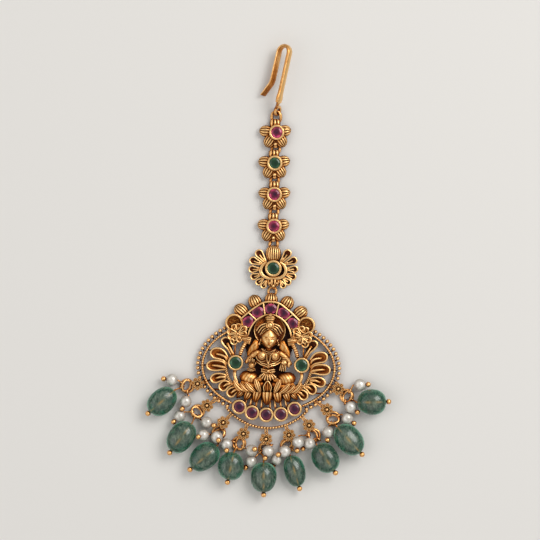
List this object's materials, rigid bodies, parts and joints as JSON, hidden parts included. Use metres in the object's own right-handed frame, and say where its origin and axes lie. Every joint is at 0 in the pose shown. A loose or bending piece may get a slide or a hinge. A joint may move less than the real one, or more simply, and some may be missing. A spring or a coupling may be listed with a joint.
{
  "type": "maang_tikka",
  "caption": "Gilt openwork forehead ornament: ribbon hair hook, flower-link chain, rosette and a pendant with a seated goddess, hung with pearls and green stone beads",
  "frame": {"origin": "middle of the footprint, on the surface that the ornament lies on, face up", "axes": "+Y from the drops up to the hair hook, +X to the right seen from the face, +Z out of the face"},
  "size_m": [0.0664, 0.1222, 0.0064],
  "materials": {
    "antique_gold": "antique matte gilt, dark in the recesses",
    "gold_wire": "satin gilt wire",
    "red_glass": "polished ruby-red glass, foiled behind",
    "green_glass": "polished emerald-green glass, foiled behind",
    "pearl": "satin nacre",
    "green_stone": "waxy translucent grey-green stone"
  },
  "bodies": {
    "root": {"hair_hook": "antique_gold", "hook_ring": "gold_wire", "chain_ring_1": "gold_wire", "chain_ring_2": "gold_wire", "chain_ring_3": "gold_wire", "chain_ring_4": "gold_wire", "chain_ring_5": "gold_wire", "flower_link_1": "antique_gold", "flower_link_2": "antique_gold", "flower_link_3": "antique_gold", "flower_link_4": "antique_gold", "link_stone_1": "red_glass", "link_stone_2": "green_glass", "link_stone_3": "red_glass", "link_stone_4": "red_glass", "rosette_link": "antique_gold", "rosette_stone": "green_glass", "pendant_casting": "antique_gold", "arch_stones": "red_glass", "side_stone_left": "green_glass", "side_stone_right": "green_glass", "base_stones": "red_glass", "drop_ring_1": "gold_wire", "drop_pins_1": "gold_wire", "pearls_1": "pearl", "bead_1": "green_stone", "drop_ring_2": "gold_wire", "drop_pins_2": "gold_wire", "pearls_2": "pearl", "bead_2": "green_stone", "drop_ring_3": "gold_wire", "drop_pins_3": "gold_wire", "pearls_3": "pearl", "bead_3": "green_stone", "drop_ring_4": "gold_wire", "drop_pins_4": "gold_wire", "pearls_4": "pearl", "bead_4": "green_stone", "drop_ring_5": "gold_wire", "drop_pins_5": "gold_wire", "pearls_5": "pearl", "bead_5": "green_stone", "drop_ring_6": "gold_wire", "drop_pins_6": "gold_wire", "pearls_6": "pearl", "bead_6": "green_stone", "drop_ring_7": "gold_wire", "drop_pins_7": "gold_wire", "pearls_7": "pearl", "bead_7": "green_stone", "drop_ring_8": "gold_wire", "drop_pins_8": "gold_wire", "pearls_8": "pearl", "bead_8": "green_stone", "drop_ring_9": "gold_wire", "drop_pins_9": "gold_wire", "pearls_9": "pearl", "bead_9": "green_stone"}
  },
  "joints": []
}
